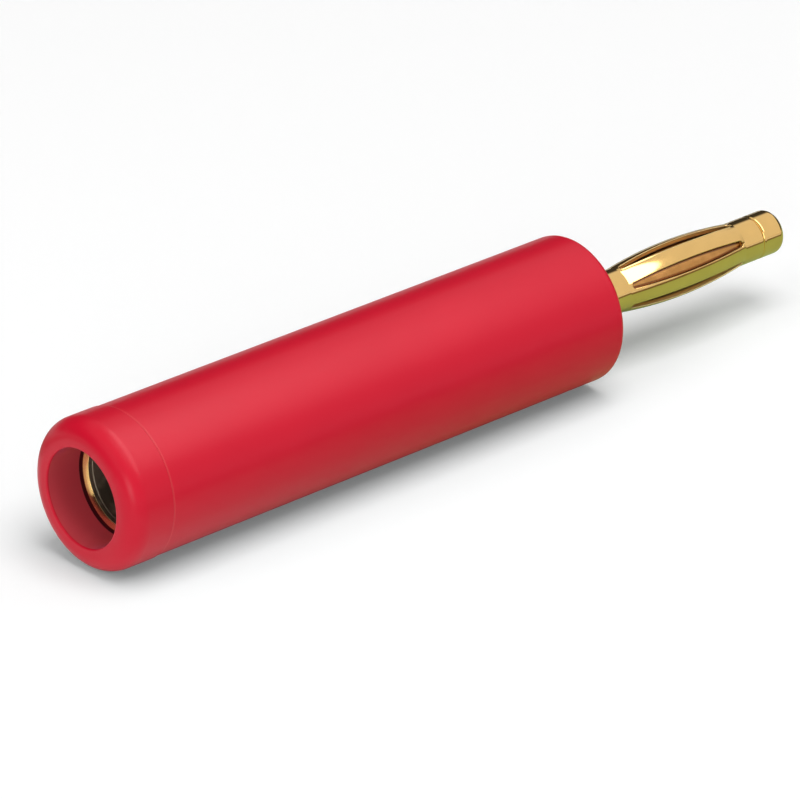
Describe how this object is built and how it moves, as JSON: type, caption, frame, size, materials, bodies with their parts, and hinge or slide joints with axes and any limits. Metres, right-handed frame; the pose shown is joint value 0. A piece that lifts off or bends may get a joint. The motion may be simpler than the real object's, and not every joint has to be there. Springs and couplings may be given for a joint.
{
  "type": "banana plug adapter",
  "caption": "Insulated adapter with a deep banana socket in its nose and a thin spring plug with bulged leaves at its rear.",
  "frame": {"origin": "centre of the nose's end face, on the socket's axis, where the adapter stands", "axes": "+Z along the axis from the nose to the plug's tip; +X through the middle of one of the spring sleeve's six slots and +Y through the middle of a leaf"},
  "size_m": [0.0076, 0.0076, 0.046],
  "materials": {
    "red_plastic": "satin, moulded",
    "gold_contact": "polished, gold plated",
    "gold_spring": "polished, gold plated",
    "gold_pin": "polished, gold plated"
  },
  "bodies": {
    "root": {"insulating_sleeve": "red_plastic", "front_collar": "red_plastic", "contact_body": "gold_contact", "spring_sleeve": "gold_spring", "core_pin": "gold_pin"}
  },
  "joints": []
}
